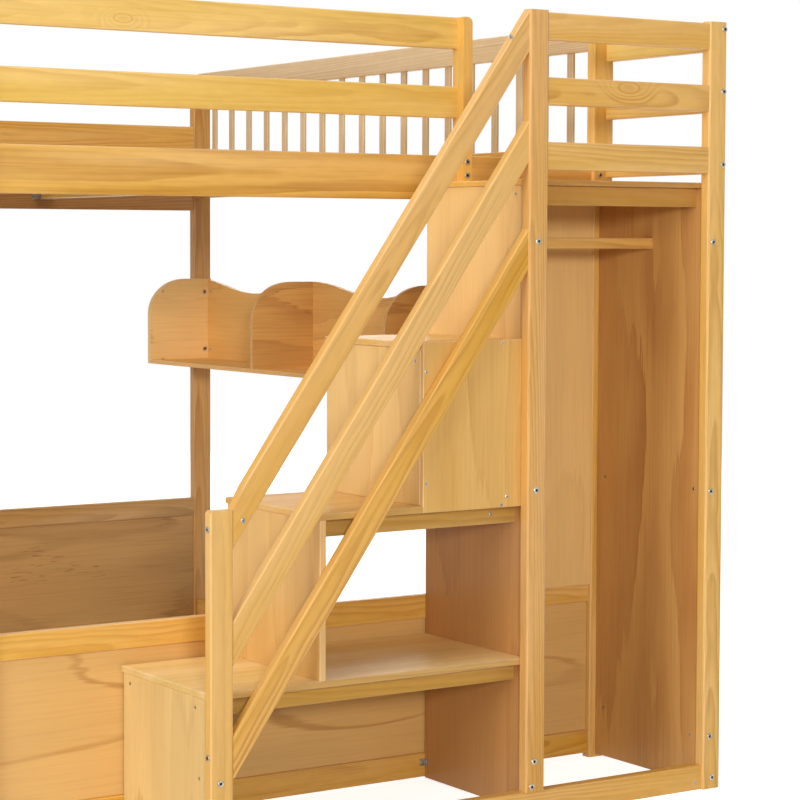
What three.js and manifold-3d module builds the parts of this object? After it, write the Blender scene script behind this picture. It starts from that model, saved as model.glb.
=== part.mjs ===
// Loft bed of lacquered pine with stairs that climb to a wardrobe tower at its foot end.
// Millimetres, Z up. The origin is on the floor at the middle of the whole footprint.
// The stairs rise along X at the front, and the bed runs back along Y.

import * as THREE from 'three';
import { mergeVertices } from 'three/addons/utils/BufferGeometryUtils.js';
import Module from 'manifold-3d';

const wasm = await Module();
wasm.setup();

// Bed frame
const bedWidth = 1680;
const bedLength = 2011;
const bedPostRise = 20;
const bedPostWidth = 60;
const postThickness = 28;
const endRailHeight = 102;
const endRailThickness = 19;
const guardRailHeight = 73;
const entryStep = 64;

// Side guards with upright slats
const sideRailHeight = 92;
const sideRailThickness = 24;
const sideRailInset = 24;
const sideRailRise = 30;
const sideGuardRise = 6;
const sideGuardRailHeight = 63;
const sideGuardThickness = 20;
const guardSlatWidth = 24;
const guardSlatThickness = 8;
const guardSlatCount = 18;

// Slatted bases
const ledgerSize = 20;
const bearerWidth = 46;
const bearerHeight = 31;
const bedSlatWidth = 70;
const bedSlatThickness = 15;
const bedSlatCount = 14;
const bedSlatEndGap = 6;
const bracketThickness = 2;
const bracketFlange = 12;
const bracketReach = 40;
const bracketHeight = 29;

// Lower bed
const lowerRailHeight = 56;
const lowerFootTop = 437;
const lowerFootGround = 10;
const lowerHeadTop = 450;
const lowerHeadGround = 23;
const infillThickness = 9;
const infillSetback = 5;
const lowerSideRailGround = 34;

// Tower with the wardrobe
const towerWidth = 556;
const towerDepth = 402;
const towerPostWidth = 50;
const landingGuardHeight = 362;
const towerRailHeight = 60;
const towerRailPitch = 139;
const towerRailDrop = 4;
const towerFrontRailThickness = 20;
const towerFrontRailSetback = 2;
const towerSideRailThickness = 22;
const wallThickness = 15;
const leftWallInset = 16;
const rightWallInset = 27;
const groundGap = 8;
const backPanelThickness = 9;
const backPanelOverlap = 13;
const rodSize = 25;
const rodDrop = 126;
const landingThickness = 12;
const apronHeight = 43;
const apronThickness = 20;
const apronSetback = 22;

// Stairs
const newelLead = 14;
const stepRise = 347;
const stepRun = 256;
const treadCount = 3;
const treadThickness = 14;
const nosing = 5;
const riserThickness = 15;
const riserInset = 15;
const frontPanelThickness = 12;
const frontPanelLip = 2;
const cleatHeight = 40;
const cleatThickness = 20;
const frontCleatSetback = 40;
const rearCleatSetback = 21;

// Newel post, base rail and handrails
const newelWidth = 52;
const newelTopDrop = 12;
const newelThickness = 24;
const newelRadius = 10;
const baseRailHeight = 56;
const baseRailThickness = 28;
const baseRailSetback = 6;
const scribeGap = 0.5;
const handrailWidth = 52.5;
const handrailHeadDrop = 2;
const handrailToeRun = 30;
const middleHandrailDrop = 237;
const lowHandrailDrop = 231;

// Entry post beside the gap to the bed
const entryPostWidth = 25;
const entryPostDepth = 43;
const entryPostRight = 126;
const entryPostRadius = 14;

// Shelf with the waved back
const shelfDepth = 216;
const shelfHeight = 261;
const shelfDrop = 252;
const shelfBoardThickness = 12;
const shelfEndThickness = 15;
const shelfPostInset = 7;
const shelfShoulderWidth = 125;
const shelfShoulderDrop = 108;
const dividerPitch = 685;
const waveHeight = 42;

// Softened edges
const postEase = 4;
const railEase = 3;
const slatEase = 2;
const boardEase = 1.5;
const tenonLength = 12;
const overrun = 20;

// Shares and counts
const rodDepthShare = 0.5;
const handrailFallShare = 0.5824;
const bearerShares = [1 / 3, 2 / 3];
const slatEndShare = 0.5;
const roundSteps = 8;
const waveSteps = 36;
const quarter = Math.PI / 2;

// Faces worked out from the driving dimensions, before the origin is moved to the middle.
// X starts at the left face of the left tower post, Y at the front of the tower posts.
const landingTop = stepRise * (treadCount + 1);
const towerPostHeight = landingTop + landingGuardHeight;
const bedPostHeight = towerPostHeight + bedPostRise;
const bedRight = towerWidth;
const bedLeft = bedRight - bedWidth;
const innerLeft = bedLeft + bedPostWidth;
const innerRight = bedRight - bedPostWidth;
const innerWidth = innerRight - innerLeft;
const footFace = towerDepth;
const footInner = footFace + postThickness;
const headOuter = footFace + bedLength;
const headInner = headOuter - postThickness;
const innerLength = headInner - footInner;
const footRailFront = footInner - endRailThickness;
const endRailTop = landingTop + entryStep;
const endRailBottom = endRailTop - endRailHeight;
const guardGap = (bedPostHeight - endRailTop) / 2 - guardRailHeight;
const lowGuardBottom = endRailTop + guardGap;
const topGuardBottom = bedPostHeight - guardRailHeight;
const stairFront = postThickness;
const stairDepth = footRailFront - stairFront;
const newelLeft = -(treadCount * stepRun + newelLead);
const newelRight = newelLeft + newelWidth;
const newelFront = postThickness - newelThickness;
const leftWallX = leftWallInset;
const leftWallRight = leftWallX + wallThickness;
const rightWallX = towerWidth - rightWallInset - wallThickness;
const wardrobeWidth = rightWallX - leftWallRight;
const landingBottom = landingTop - landingThickness;
const towerRightPostX = towerWidth - towerPostWidth;
const towerDepthInside = towerDepth - stairFront;
const entryPostX = entryPostRight - entryPostWidth;
const sideRailTop = endRailTop + sideRailRise;
const sideRailBottom = sideRailTop - sideRailHeight;
const sideGuardTop = bedPostHeight + sideGuardRise;
const handrailRun = -newelRight;
const topHandrailHeight = towerPostHeight - handrailHeadDrop;
const handrailFall = topHandrailHeight * handrailFallShare;
const newelHeight = topHandrailHeight - handrailFall - newelTopDrop;

// Materials
function finish(color, roughness, metalness = 0) {
  return new THREE.MeshStandardMaterial({ color, roughness, metalness, flatShading: true });
}

const pine = finish(0xd9a35a, 0.42);
const palePine = finish(0xe6b976, 0.4);
const plywood = finish(0xd9a878, 0.48);
const darkPlywood = finish(0xb27b42, 0.5);
const zinc = finish(0xa8a8a6, 0.35, 0.9);

const bed = new THREE.Group();
const originX = (bedLeft + bedRight) / 2;
const originY = headOuter / 2;
bed.position.set(-originX, -originY, 0);

// Geometry helpers

// Leaves only positions, with shared corners merged.
function bare(geometry) {
  const copy = geometry.clone();
  copy.deleteAttribute('normal');
  copy.deleteAttribute('uv');
  return mergeVertices(copy);
}

function toSolid(geometry) {
  const closed = bare(geometry);
  const vertProperties = new Float32Array(closed.attributes.position.array);
  const triVerts = new Uint32Array(closed.index.array);
  return new wasm.Manifold(new wasm.Mesh({ numProp: 3, vertProperties, triVerts }));
}

function toGeometry(solid) {
  const mesh = solid.getMesh();
  const geometry = new THREE.BufferGeometry();
  geometry.setAttribute('position', new THREE.BufferAttribute(new Float32Array(mesh.vertProperties), 3));
  geometry.setIndex(new THREE.BufferAttribute(new Uint32Array(mesh.triVerts), 1));
  return geometry;
}

function cut(geometry, tool) {
  return toGeometry(toSolid(geometry).subtract(toSolid(tool)));
}

function common(geometry, other) {
  return toGeometry(toSolid(geometry).intersect(toSolid(other)));
}

// Glues several solids that touch or are let into each other into one piece.
function glued(geometries) {
  return toGeometry(geometries.map(toSolid).reduce((whole, solid) => whole.add(solid)));
}

// Adds one named piece with its corner or centre at the given place.
function place(name, geometry, material, x, y, z) {
  const closed = bare(geometry);
  closed.computeVertexNormals();
  const mesh = new THREE.Mesh(closed, material);
  mesh.name = name;
  mesh.position.set(x, y, z);
  bed.add(mesh);
}

function moved(geometry, x, y, z) {
  return geometry.clone().translate(x, y, z);
}

// Section of a planed timber with four softened corners, from its lower left corner.
function planedSection(width, height, ease) {
  const section = new THREE.Shape();
  section.absarc(width - ease, ease, ease, -quarter, 0, false);
  section.absarc(width - ease, height - ease, ease, 0, quarter, false);
  section.absarc(ease, height - ease, ease, quarter, 2 * quarter, false);
  section.absarc(ease, ease, ease, 2 * quarter, 3 * quarter, false);
  return section;
}

function outline(points) {
  const shape = new THREE.Shape();
  points.forEach(([a, b], i) => (i === 0 ? shape.moveTo(a, b) : shape.lineTo(a, b)));
  return shape;
}

function rectangle(width, height) {
  return outline([[0, 0], [width, 0], [width, height], [0, height]]);
}

// The three ways a drawn shape is pushed: up from a plan, back from a front view, right from a side view.
function pushUp(shape, depth, options = {}) {
  return new THREE.ExtrudeGeometry(shape, { depth, bevelEnabled: false, curveSegments: 1, ...options });
}

function pushBack(shape, depth, options = {}) {
  const turn = new THREE.Matrix4().makeBasis(
    new THREE.Vector3(1, 0, 0), new THREE.Vector3(0, 0, 1), new THREE.Vector3(0, -1, 0));
  return pushUp(shape, depth, options).applyMatrix4(turn).translate(0, depth, 0);
}

function pushRight(shape, depth, options = {}) {
  const turn = new THREE.Matrix4().makeBasis(
    new THREE.Vector3(0, 1, 0), new THREE.Vector3(0, 0, 1), new THREE.Vector3(1, 0, 0));
  return pushUp(shape, depth, options).applyMatrix4(turn);
}

// Timbers of X, Y and Z size that run up, back or across.
function upright(sizeX, sizeY, sizeZ, ease) {
  return pushUp(planedSection(sizeX, sizeY, ease), sizeZ);
}

function lengthwise(sizeX, sizeY, sizeZ, ease) {
  return pushBack(planedSection(sizeX, sizeZ, ease), sizeY);
}

function crosswise(sizeX, sizeY, sizeZ, ease) {
  return pushRight(planedSection(sizeY, sizeZ, ease), sizeX);
}

// Sheet cut to an outline, with every edge softened.
function sheet(shape, thickness, push) {
  const ease = { bevelSize: boardEase, bevelOffset: -boardEase, bevelThickness: boardEase };
  const core = thickness - 2 * boardEase;
  return push(shape, core, { bevelEnabled: true, bevelSegments: 1, ...ease });
}

function flatSheet(shape, thickness) {
  return sheet(shape, thickness, pushUp).translate(0, 0, boardEase);
}

function standingSheet(shape, thickness) {
  return sheet(shape, thickness, pushBack).translate(0, boardEase, 0);
}

function sideSheet(shape, thickness) {
  return sheet(shape, thickness, pushRight).translate(boardEase, 0, 0);
}

// Bed posts
function bedPosts() {
  const post = upright(bedPostWidth, postThickness, bedPostHeight, postEase);
  const rightX = bedRight - bedPostWidth;
  place('foot_post_right', post, pine, rightX, footFace, 0);
  place('foot_post_left', post, pine, bedLeft, footFace, 0);
  place('head_post_right', post, pine, rightX, headInner, 0);
  place('head_post_left', post, pine, bedLeft, headInner, 0);
}

// Foot end with the gap for climbing in, and the closed head end
function endRails() {
  const rail = crosswise(innerWidth, endRailThickness, endRailHeight, railEase);
  const footGuardWidth = entryPostX - innerLeft;
  const footGuard = crosswise(footGuardWidth, endRailThickness, guardRailHeight, railEase);
  const headGuard = crosswise(innerWidth, endRailThickness, guardRailHeight, railEase);
  place('foot_rail', rail, pine, innerLeft, footRailFront, endRailBottom);
  place('foot_guard_low', footGuard, pine, innerLeft, footRailFront, lowGuardBottom);
  place('foot_guard_top', footGuard, pine, innerLeft, footRailFront, topGuardBottom);
  place('head_rail', rail, pine, innerLeft, headInner, endRailBottom);
  place('head_guard_low', headGuard, pine, innerLeft, headInner, lowGuardBottom);
  place('head_guard_top', headGuard, pine, innerLeft, headInner, topGuardBottom);
}

// Entry post, halved over the foot rail and rounded at its free top corner
function entryPost() {
  const height = bedPostHeight - landingTop;
  const halved = endRailTop - landingTop;
  const faceDepth = entryPostDepth - endRailThickness;
  const side = outline([
    [0, 0], [faceDepth, 0], [faceDepth, halved],
    [entryPostDepth, halved], [entryPostDepth, height], [0, height],
  ]);
  const front = new THREE.Shape();
  front.moveTo(0, 0);
  front.lineTo(entryPostWidth, 0);
  const shoulder = height - entryPostRadius;
  front.absarc(entryPostWidth - entryPostRadius, shoulder, entryPostRadius, 0, quarter, false);
  front.lineTo(0, height);
  const rounded = pushBack(front, entryPostDepth, { curveSegments: roundSteps / 2 });
  const post = common(pushRight(side, entryPostWidth), rounded);
  place('entry_post', post, palePine, entryPostX, footInner - entryPostDepth, landingTop);
}

// Side guards: a cap with upright slats tenoned into it, standing on the side rail
const guardCentre = sideRailInset + sideRailThickness / 2;

function sideGuard(side, centreX) {
  const capZ = sideGuardTop - sideGuardRailHeight - sideRailTop;
  const cap = lengthwise(sideGuardThickness, innerLength, sideGuardRailHeight, railEase);
  const slat = upright(guardSlatThickness, guardSlatWidth, capZ + tenonLength, slatEase);
  const pitch = (innerLength + guardSlatWidth) / (guardSlatCount + 1);
  const slatX = (sideGuardThickness - guardSlatThickness) / 2;
  const pieces = [moved(cap, 0, 0, capZ)];
  for (let i = 1; i <= guardSlatCount; i += 1) {
    pieces.push(moved(slat, slatX, i * pitch - guardSlatWidth, 0));
  }
  place(`side_guard_${side}`, glued(pieces), pine, centreX - sideGuardThickness / 2, footInner, sideRailTop);
}

// Slatted bases: side rails with a glued ledger, and slats across two bearers
const ledgerRise = bracketThickness;
const bearerTopRise = ledgerRise + ledgerSize;
const bearerRise = bearerTopRise - bearerHeight;
const leftRailInner = bedLeft + sideRailInset + sideRailThickness;
const rightRailInner = bedRight - sideRailInset - sideRailThickness;
const slatSpan = rightRailInner - leftRailInner;

// Side rail seen from its outer face at X zero, with the ledger on the inner face.
function ledgedRail() {
  const rail = lengthwise(sideRailThickness, innerLength, sideRailHeight, railEase);
  const ledger = lengthwise(ledgerSize + tenonLength, innerLength, ledgerSize, slatEase);
  return glued([rail, moved(ledger, sideRailThickness - tenonLength, 0, ledgerRise)]);
}

function sideRails(prefix, z) {
  const left = ledgedRail();
  const right = left.clone().rotateZ(2 * quarter).translate(0, innerLength, 0);
  place(`${prefix}side_rail_left`, left, pine, leftRailInner - sideRailThickness, footInner, z);
  place(`${prefix}side_rail_right`, right, pine, rightRailInner + sideRailThickness, footInner, z);
}

// Slats with the two bearers screwed under them, ready to drop between the ends
function slattedBase(name, z, endGap) {
  const span = slatSpan - 2 * bedSlatEndGap;
  const slat = crosswise(span, bedSlatWidth, bedSlatThickness, slatEase);
  const bearer = lengthwise(bearerWidth, innerLength - 2 * endGap, bearerHeight, slatEase);
  const pieces = bearerShares.map((share) => {
    const x = slatSpan * share - bedSlatEndGap - bearerWidth / 2;
    return moved(bearer, x, endGap, -bearerHeight);
  });
  const pitch = (innerLength - bedSlatWidth) / (bedSlatCount - 1 + 2 * slatEndShare);
  for (let i = 0; i < bedSlatCount; i += 1) {
    pieces.push(moved(slat, 0, (i + slatEndShare) * pitch, 0));
  }
  place(name, glued(pieces), palePine, leftRailInner + bedSlatEndGap, footInner, z + bearerTopRise);
}

// Hanger that carries one end of a bearer, folded from sheet steel
function bearerHanger() {
  const half = bearerWidth / 2;
  const wall = half + bracketThickness;
  const wing = wall + bracketFlange;
  const trough = outline([
    [-wall, -bracketThickness], [wall, -bracketThickness], [wall, bracketHeight], [half, bracketHeight],
    [half, 0], [-half, 0], [-half, bracketHeight], [-wall, bracketHeight],
  ]);
  const plate = outline([
    [-wing, -bracketThickness], [wing, -bracketThickness], [wing, bracketHeight], [-wing, bracketHeight],
  ]);
  return glued([pushBack(trough, bracketReach), pushBack(plate, bracketThickness)]);
}

function bearerHangers() {
  const hanger = bearerHanger();
  const turned = hanger.clone().rotateZ(2 * quarter);
  const z = sideRailBottom + bearerRise;
  bearerShares.forEach((share, i) => {
    const x = leftRailInner + slatSpan * share;
    const side = ['left', 'right'][i];
    place(`foot_hanger_${side}`, hanger, zinc, x, footInner, z);
    place(`head_hanger_${side}`, turned, zinc, x, headInner, z);
  });
}

// Framed panels that close the foot and head of the lower bed
function lowerPanels() {
  const rail = crosswise(innerWidth, endRailThickness, lowerRailHeight, railEase);
  const ends = [
    ['foot', footRailFront, lowerFootTop, lowerFootGround],
    ['head', headInner, lowerHeadTop, lowerHeadGround],
  ];
  ends.forEach(([end, face, top, ground]) => {
    const topRailZ = top - lowerRailHeight;
    const infillZ = ground + lowerRailHeight;
    const clear = topRailZ - infillZ;
    const infill = standingSheet(rectangle(innerWidth, clear), infillThickness);
    place(`lower_${end}_top_rail`, rail, pine, innerLeft, face, topRailZ);
    place(`lower_${end}_bottom_rail`, rail, pine, innerLeft, face, ground);
    place(`lower_${end}_panel`, infill, plywood, innerLeft, face + infillSetback, infillZ);
  });
}

// Tower posts and the rails round the landing
function towerFrame() {
  const leftPost = upright(towerPostWidth, postThickness, towerPostHeight - baseRailHeight, postEase);
  place('tower_post_left', leftPost, pine, 0, 0, baseRailHeight);
  const rightPost = upright(towerPostWidth, postThickness, towerPostHeight, postEase);
  place('tower_post_right', rightPost, pine, towerRightPostX, 0, 0);
  const clearWidth = towerWidth - 2 * towerPostWidth;
  const front = crosswise(clearWidth, towerFrontRailThickness, towerRailHeight, railEase);
  const side = lengthwise(towerSideRailThickness, towerDepthInside, towerRailHeight, railEase);
  const topRailZ = towerPostHeight - towerRailDrop - towerRailHeight;
  ['top', 'middle', 'low'].forEach((level, i) => {
    const z = topRailZ - i * towerRailPitch;
    place(`tower_front_rail_${level}`, front, pine, towerPostWidth, towerFrontRailSetback, z);
    place(`tower_side_rail_${level}`, side, pine, towerWidth - towerSideRailThickness, stairFront, z);
  });
}

// Wardrobe under the landing
function wardrobe() {
  const height = landingBottom - groundGap;
  const notchY = baseRailSetback + baseRailThickness + scribeGap - stairFront;
  const notchZ = baseRailHeight + scribeGap - groundGap;
  const scribed = outline([
    [notchY, 0], [stairDepth, 0], [stairDepth, height], [0, height], [0, notchZ], [notchY, notchZ],
  ]);
  const leftWall = sideSheet(scribed, wallThickness);
  place('wardrobe_wall_left', leftWall, darkPlywood, leftWallX, stairFront, groundGap);
  const plain = sideSheet(rectangle(towerDepthInside, height), wallThickness);
  place('wardrobe_wall_right', plain, darkPlywood, rightWallX, stairFront, groundGap);
  const backZ = lowerFootTop - backPanelOverlap;
  const backWidth = innerRight - leftWallRight;
  const backHeight = landingBottom - backZ;
  const back = standingSheet(rectangle(backWidth, backHeight), backPanelThickness);
  const backY = footRailFront - backPanelThickness;
  place('wardrobe_back', back, darkPlywood, leftWallRight, backY, backZ);
  const rod = crosswise(wardrobeWidth, rodSize, rodSize, railEase);
  const rodY = stairFront + towerDepthInside * rodDepthShare - rodSize / 2;
  place('hanging_rod', rod, pine, leftWallRight, rodY, landingBottom - rodDrop - rodSize / 2);
}

// Landing board, cut round the foot post, with the apron that stiffens its front
function landing() {
  const left = leftWallX - nosing;
  const right = rightWallX + wallThickness + nosing;
  const board = outline([
    [0, 0], [right - left, 0], [right - left, towerDepthInside], [innerRight - left, towerDepthInside],
    [innerRight - left, stairDepth], [0, stairDepth],
  ]);
  const apron = crosswise(wardrobeWidth, apronThickness, apronHeight, slatEase);
  const hung = moved(apron, leftWallRight - left, apronSetback, -apronHeight);
  const whole = glued([flatSheet(board, landingThickness), hung]);
  place('landing_board', whole, palePine, left, stairFront, landingBottom);
}

// Stair boxes: treads with glued cleats, risers and the front panel
function riserX(step) {
  return newelLeft + riserInset + step * stepRun;
}

function treadTop(step) {
  return stepRise * (step + 1);
}

function stairs() {
  const panelX = riserX(treadCount - 1);
  const panelY = stairFront + frontPanelThickness;
  for (let step = 0; step < treadCount; step += 1) {
    const last = step === treadCount - 1;
    const x = riserX(step) - nosing;
    const width = leftWallX - x;
    const front = last ? frontPanelThickness : 0;
    const behindPanel = step === treadCount - 2;
    const corner = panelX - x;
    const notch = [[corner, 0], [corner, frontPanelThickness], [width, frontPanelThickness]];
    const frontEdge = behindPanel ? notch : [[width, front]];
    const tread = outline([[0, front], ...frontEdge, [width, stairDepth], [0, stairDepth]]);
    const bottom = treadTop(step) - treadThickness;
    const cleatX = nosing + riserThickness;
    const cleat = crosswise(width - cleatX, cleatThickness, cleatHeight, slatEase);
    const rearY = stairDepth - rearCleatSetback - cleatThickness;
    const cleats = [frontCleatSetback, rearY].map((y) => moved(cleat, cleatX, y, -cleatHeight));
    const board = flatSheet(tread, treadThickness);
    place(`tread_${step + 1}`, glued([board, ...cleats]), palePine, x, stairFront, bottom);

    const foot = step === 0 ? groundGap : treadTop(step - 1);
    const riserFront = last ? panelY : stairFront;
    const depth = footRailFront - riserFront;
    const riser = sideSheet(rectangle(depth, bottom - foot), riserThickness);
    place(`riser_${step + 1}`, riser, plywood, riserX(step), riserFront, foot);
  }
  const panelBottom = treadTop(treadCount - 2) - treadThickness;
  const panelHeight = treadTop(treadCount - 1) + frontPanelLip - panelBottom;
  const panelWidth = leftWallX - panelX;
  const panel = standingSheet(rectangle(panelWidth, panelHeight), frontPanelThickness);
  place('stair_front_panel', panel, plywood, panelX, stairFront, panelBottom);
}

// Newel with one rounded top corner, and the base rail that carries the left tower post
function newelAndBase() {
  const face = new THREE.Shape();
  face.moveTo(0, 0);
  face.lineTo(newelWidth, 0);
  face.lineTo(newelWidth, newelHeight);
  face.absarc(newelRadius, newelHeight - newelRadius, newelRadius, quarter, 2 * quarter, false);
  const rounded = pushBack(face, newelThickness, { curveSegments: roundSteps / 2 });
  const eased = upright(newelWidth, newelThickness, newelHeight, railEase);
  place('newel_post', common(eased, rounded), palePine, newelLeft, newelFront, 0);
  const rail = crosswise(towerRightPostX - newelRight, baseRailThickness, baseRailHeight, railEase);
  place('base_rail', rail, pine, newelRight, baseRailSetback, 0);
}

// Sloping handrails: planed sections tilted to the pitch, then cut plumb at both posts
function handrail(topHeight, ceiling) {
  const pitchAngle = Math.atan2(handrailFall, handrailRun);
  const plumbHeight = handrailWidth / Math.cos(pitchAngle);
  const length = Math.hypot(handrailRun, handrailFall) + 2 * (plumbHeight + overrun);
  const bar = crosswise(length, newelThickness, handrailWidth, railEase);
  bar.translate(-length + plumbHeight + overrun, 0, -handrailWidth);
  bar.rotateY(-pitchAngle);
  bar.translate(handrailRun, 0, topHeight);
  const window = new THREE.BoxGeometry(handrailRun, newelThickness + 2 * overrun, ceiling);
  window.translate(handrailRun / 2, newelThickness / 2, ceiling / 2);
  return common(bar, window);
}

function handrails() {
  const ceiling = towerPostHeight + overrun;
  const middle = topHandrailHeight - middleHandrailDrop;
  const low = middle - lowHandrailDrop;
  place('handrail_low', handrail(low, ceiling), palePine, newelRight, newelFront, 0);
  place('handrail_middle', handrail(middle, ceiling), palePine, newelRight, newelFront, 0);

  // The toe of the top rail is eased down to the top of the newel.
  const slope = handrailFall / handrailRun;
  const toeTop = topHandrailHeight - handrailFall + slope * handrailToeRun;
  const above = toeTop + overrun;
  const waste = outline([
    [-overrun, newelHeight], [0, newelHeight], [handrailToeRun, toeTop],
    [handrailToeRun, above], [-overrun, above],
  ]);
  const shaving = pushBack(waste, newelThickness + 2 * overrun).translate(0, -overrun, 0);
  const top = cut(handrail(topHandrailHeight, ceiling), shaving);
  place('handrail_top', top, palePine, newelRight, newelFront, 0);
}

// Shelf along the right side: waved back, bottom board, rounded ends and dividers
const shelfRight = bedRight - shelfPostInset;
const shelfBottomHeight = sideRailBottom - shelfDrop - shelfHeight;
const shelfBackX = shelfRight - shelfBoardThickness;
const shelfStart = footInner;
const shelfEnd = headInner;
const shelfClear = shelfEnd - shelfStart - 2 * shelfEndThickness;

// Profile of an end or divider in X and Z, its front shoulder a quarter ellipse.
function shoulderProfile(depth, height) {
  const profile = new THREE.Shape();
  profile.moveTo(0, 0);
  profile.lineTo(depth, 0);
  profile.lineTo(depth, height);
  profile.absellipse(shelfShoulderWidth, height - shelfShoulderDrop, shelfShoulderWidth, shelfShoulderDrop,
    quarter, 2 * quarter, false, 0);
  return profile;
}

function waveTop(y) {
  const turns = (y - (shelfClear - dividerPitch) / 2) / dividerPitch;
  return shelfHeight - waveHeight / 2 + (waveHeight / 2) * Math.cos(turns * 4 * quarter);
}

function wavedBack() {
  const back = new THREE.Shape();
  back.moveTo(0, 0);
  back.lineTo(shelfClear, 0);
  for (let i = waveSteps; i >= 0; i -= 1) {
    const y = (shelfClear * i) / waveSteps;
    back.lineTo(y, waveTop(y));
  }
  return pushRight(back, shelfBoardThickness);
}

function shelf() {
  const innerY = shelfStart + shelfEndThickness;
  place('shelf_back', wavedBack(), darkPlywood, shelfBackX, innerY, shelfBottomHeight);
  const bottom = lengthwise(shelfDepth - shelfBoardThickness, shelfClear, shelfBoardThickness, boardEase);
  place('shelf_bottom', bottom, plywood, shelfRight - shelfDepth, innerY, shelfBottomHeight);

  const rounding = { curveSegments: roundSteps };
  const end = pushBack(shoulderProfile(shelfDepth, shelfHeight), shelfEndThickness, rounding);
  const left = shelfRight - shelfDepth;
  place('shelf_end_foot', end, plywood, left, shelfStart, shelfBottomHeight);
  place('shelf_end_head', end, plywood, left, shelfEnd - shelfEndThickness, shelfBottomHeight);

  const dividerDepth = shelfDepth - shelfBoardThickness;
  const dividerHeight = shelfHeight - shelfBoardThickness;
  const profile = shoulderProfile(dividerDepth, dividerHeight);
  const divider = pushBack(profile, shelfBoardThickness, rounding);
  const firstY = innerY + (shelfClear - dividerPitch - shelfBoardThickness) / 2;
  const floor = shelfBottomHeight + shelfBoardThickness;
  place('shelf_divider_foot', divider, plywood, left, firstY, floor);
  place('shelf_divider_head', divider, plywood, left, firstY + dividerPitch, floor);
}

bedPosts();
endRails();
entryPost();
sideGuard('right', bedRight - guardCentre);
sideGuard('left', bedLeft + guardCentre);
sideRails('', sideRailBottom);
slattedBase('bed_slats', sideRailBottom, bracketThickness);
bearerHangers();
lowerPanels();
sideRails('lower_', lowerSideRailGround);
slattedBase('lower_bed_slats', lowerSideRailGround, 0);
towerFrame();
wardrobe();
landing();
stairs();
newelAndBase();
handrails();
shelf();

export default bed;
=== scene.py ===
import math

import bmesh
import bpy
from mathutils import Matrix, Vector


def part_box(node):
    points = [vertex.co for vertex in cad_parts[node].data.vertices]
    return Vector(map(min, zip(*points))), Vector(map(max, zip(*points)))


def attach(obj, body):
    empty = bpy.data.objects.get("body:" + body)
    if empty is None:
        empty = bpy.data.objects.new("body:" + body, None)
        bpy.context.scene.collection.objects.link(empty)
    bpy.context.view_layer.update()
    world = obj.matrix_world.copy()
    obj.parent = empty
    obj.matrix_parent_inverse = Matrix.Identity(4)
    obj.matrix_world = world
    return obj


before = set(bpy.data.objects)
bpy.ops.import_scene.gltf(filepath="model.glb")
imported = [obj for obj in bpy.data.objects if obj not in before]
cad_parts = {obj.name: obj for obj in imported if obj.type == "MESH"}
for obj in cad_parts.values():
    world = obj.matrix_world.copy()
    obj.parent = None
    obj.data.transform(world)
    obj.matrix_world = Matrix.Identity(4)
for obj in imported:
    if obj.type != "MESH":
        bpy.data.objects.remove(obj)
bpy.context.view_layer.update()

MM = 0.001
TOWER_CORNER = Vector((284.0, -1206.5, 0.0))
AXES = Vector((1, 0, 0)), Vector((0, 1, 0)), Vector((0, 0, 1))
FRONT, BACK, LEFT, RIGHT, TOP = (0, -1, 0), (0, 1, 0), (-1, 0, 0), (1, 0, 0), (0, 0, 1)


def from_tower(x, y, z):
    """A point measured in millimetres from the front left corner of the tower."""
    return (Vector((x, y, z)) + TOWER_CORNER) * MM


def in_tower(point):
    """Millimetres from the front left corner of the tower."""
    return tuple(point / MM - TOWER_CORNER)


def show(name, data):
    """An object of the scene with the given mesh, light or camera."""
    thing = bpy.data.objects.new(name, data)
    bpy.context.scene.collection.objects.link(thing)
    return thing


def lacquer(code):
    """A finish colour as on a paint card, in linear light."""
    parts = [int(code[i:i + 2], 16) / 255 for i in (0, 2, 4)]
    return [c / 12.92 if c <= 0.04045 else ((c + 0.055) / 1.055) ** 2.4 for c in parts] + [1.0]


# Node helpers

USUAL_NOISE = 0.3, 0.7
NOISE_MIDDLE = 0.5


def fit(tree, kind, feeds=(), **settings):
    """Adds a node and feeds its inputs with numbers or with other nodes' outputs."""
    node = tree.nodes.new(kind)
    for name, value in settings.items():
        setattr(node, name, value)
    for name, value in dict(feeds).items():
        if isinstance(value, bpy.types.NodeSocket):
            tree.links.new(value, node.inputs[name])
        else:
            node.inputs[name].default_value = value
    return node


def work_out(tree, operation, *terms):
    return fit(tree, "ShaderNodeMath", enumerate(terms), operation=operation).outputs[0]


def along(tree, operation, *terms):
    node = fit(tree, "ShaderNodeVectorMath", enumerate(terms), operation=operation)
    return node.outputs["Value" if operation in ("LENGTH", "DOT_PRODUCT") else "Vector"]


def scaled(tree, vector, amount):
    return fit(tree, "ShaderNodeVectorMath", {0: vector, "Scale": amount}, operation="SCALE").outputs[0]


def ease(tree, value, low, high, start=0.0, end=1.0):
    """A soft step from start to end while value goes from low to high."""
    feeds = {"Value": value, "From Min": low, "From Max": high, "To Min": start, "To Max": end}
    return fit(tree, "ShaderNodeMapRange", feeds, interpolation_type="SMOOTHSTEP").outputs[0]


def band(tree, value, rise, fall, top=1.0):
    """Climbs softly to top while value crosses rise, and back to nothing while it crosses fall."""
    up, down = ease(tree, value, *rise, 0.0, top), ease(tree, value, *fall, 1.0, 0.0)
    return work_out(tree, "MULTIPLY", up, down)


def swing(tree, noise, low, high):
    """A number that goes from low to high as a noise does over its usual range."""
    return ease(tree, noise, *USUAL_NOISE, low, high)


def stretch(tree, place, pull, **feeds):
    """Noise drawn out along the grain by the three numbers of pull."""
    vector = along(tree, "MULTIPLY", place, pull)
    return fit(tree, "ShaderNodeTexNoise", {"Vector": vector, "Scale": 1.0, **feeds})


def strength_of(noise):
    return noise.outputs["Fac"]


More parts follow.
